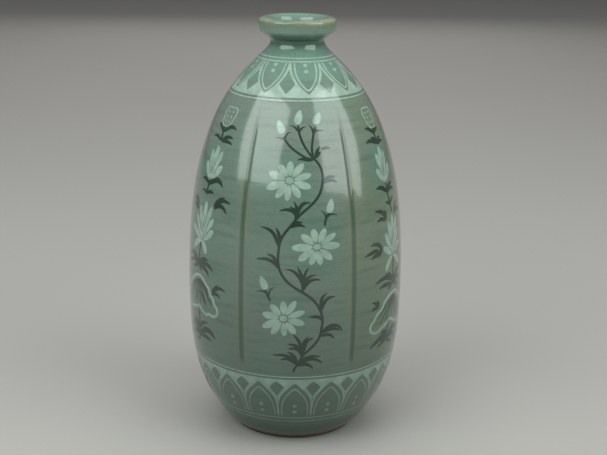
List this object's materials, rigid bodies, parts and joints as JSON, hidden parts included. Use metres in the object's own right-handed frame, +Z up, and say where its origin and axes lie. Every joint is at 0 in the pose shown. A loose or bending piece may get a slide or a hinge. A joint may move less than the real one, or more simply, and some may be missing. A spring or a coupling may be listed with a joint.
{
  "type": "celadon vase",
  "caption": "Tall lobed celadon bottle vase with a dish-shaped mouth, low foot ring, and inlaid chrysanthemum, lotus and petal-band decoration.",
  "frame": {"origin": "centre of the ring that the vase stands on, on the table", "axes": "+Z up through the mouth, -Y out through the front chrysanthemum panel, +X to the right of it"},
  "size_m": [0.1552, 0.1552, 0.3],
  "materials": {
    "celadon_glaze": "gloss",
    "white_slip": "gloss",
    "black_slip": "gloss",
    "bare_clay": "matte"
  },
  "bodies": {
    "root": {"body_lower": "celadon_glaze", "body_upper": "celadon_glaze", "foot_ring": "bare_clay", "neck": "celadon_glaze", "mouth_dish": "celadon_glaze", "shoulder_lotus_band": "white_slip", "base_lotus_band": "white_slip", "front_chrysanthemum_vine": "black_slip", "front_chrysanthemum_blossom_top": "white_slip", "front_chrysanthemum_blossom_middle": "white_slip", "front_chrysanthemum_blossom_low": "white_slip", "front_chrysanthemum_bud_left": "white_slip", "front_chrysanthemum_bud_centre": "white_slip", "front_chrysanthemum_bud_right": "white_slip", "front_chrysanthemum_bud_stem_right": "white_slip", "front_chrysanthemum_bud_stem_left": "white_slip", "right_lotus_pod": "white_slip", "right_lotus_sprig": "black_slip", "right_lotus_blossom_small": "white_slip", "right_lotus_calyx": "black_slip", "right_lotus_blossom_large": "white_slip", "right_lotus_cluster": "black_slip", "right_lotus_leaf": "white_slip", "right_lotus_foot": "black_slip", "right_rear_chrysanthemum_vine": "black_slip", "right_rear_chrysanthemum_blossom_top": "white_slip", "right_rear_chrysanthemum_blossom_middle": "white_slip", "right_rear_chrysanthemum_blossom_low": "white_slip", "right_rear_chrysanthemum_bud_left": "white_slip", "right_rear_chrysanthemum_bud_centre": "white_slip", "right_rear_chrysanthemum_bud_right": "white_slip", "right_rear_chrysanthemum_bud_stem_right": "white_slip", "right_rear_chrysanthemum_bud_stem_left": "white_slip", "rear_lotus_pod": "white_slip", "rear_lotus_sprig": "black_slip", "rear_lotus_blossom_small": "white_slip", "rear_lotus_calyx": "black_slip", "rear_lotus_blossom_large": "white_slip", "rear_lotus_cluster": "black_slip", "rear_lotus_leaf": "white_slip", "rear_lotus_foot": "black_slip", "left_rear_chrysanthemum_vine": "black_slip", "left_rear_chrysanthemum_blossom_top": "white_slip", "left_rear_chrysanthemum_blossom_middle": "white_slip", "left_rear_chrysanthemum_blossom_low": "white_slip", "left_rear_chrysanthemum_bud_left": "white_slip", "left_rear_chrysanthemum_bud_centre": "white_slip", "left_rear_chrysanthemum_bud_right": "white_slip", "left_rear_chrysanthemum_bud_stem_right": "white_slip", "left_rear_chrysanthemum_bud_stem_left": "white_slip", "left_lotus_pod": "white_slip", "left_lotus_sprig": "black_slip", "left_lotus_blossom_small": "white_slip", "left_lotus_calyx": "black_slip", "left_lotus_blossom_large": "white_slip", "left_lotus_cluster": "black_slip", "left_lotus_leaf": "white_slip", "left_lotus_foot": "black_slip"}
  },
  "joints": []
}
